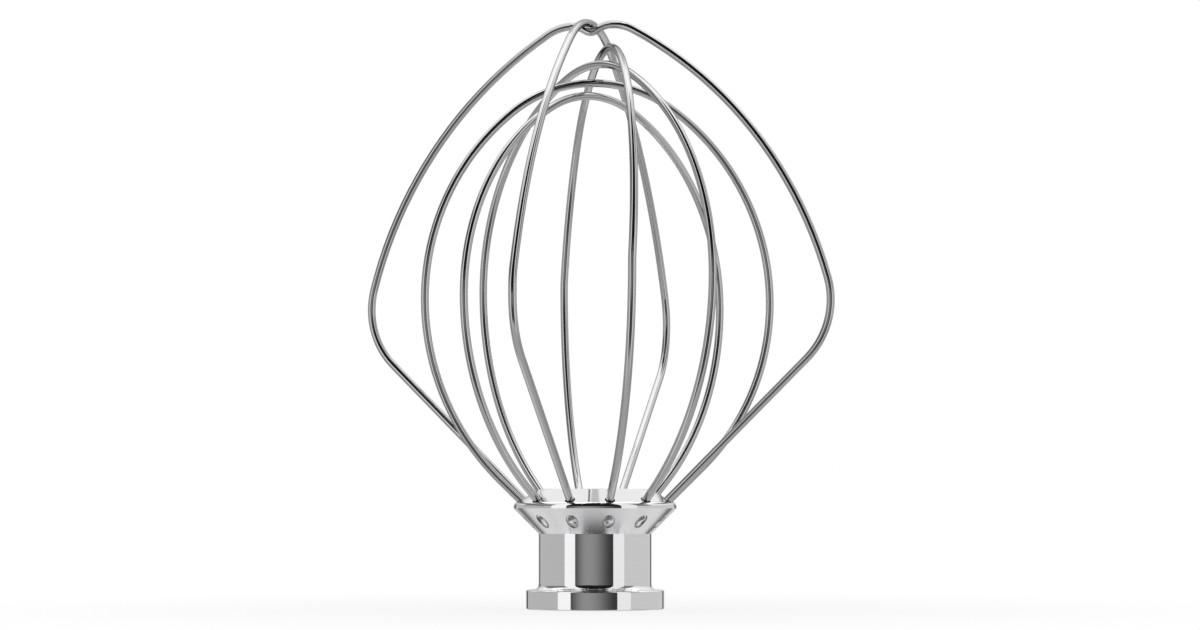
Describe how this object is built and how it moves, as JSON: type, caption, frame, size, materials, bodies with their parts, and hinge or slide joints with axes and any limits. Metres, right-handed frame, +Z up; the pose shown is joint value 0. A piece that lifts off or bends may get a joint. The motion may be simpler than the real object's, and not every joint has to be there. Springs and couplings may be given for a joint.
{
  "type": "stand mixer wire whisk",
  "caption": "Wire whisk attachment for a stand mixer: a turned metal hub with a shaft socket and bayonet slot carries a balloon cage of crossing kite-shaped and round wire loops.",
  "frame": {"origin": "middle of the hub flange's lower face, on the turning axis", "axes": "+Z up the turning axis from the flange to the wire crown, +X in the plane of the notched kite loop"},
  "size_m": [0.1252, 0.1216, 0.1499],
  "materials": {
    "polished_hub": "polished",
    "whisk_wire": "bright drawn stainless"
  },
  "bodies": {
    "root": {"hub": "polished_hub", "cross_kite_wire": "whisk_wire", "notched_kite_wire": "whisk_wire", "tall_round_wire": "whisk_wire", "second_round_wire": "whisk_wire", "third_round_wire": "whisk_wire", "low_round_wire": "whisk_wire"}
  },
  "joints": []
}
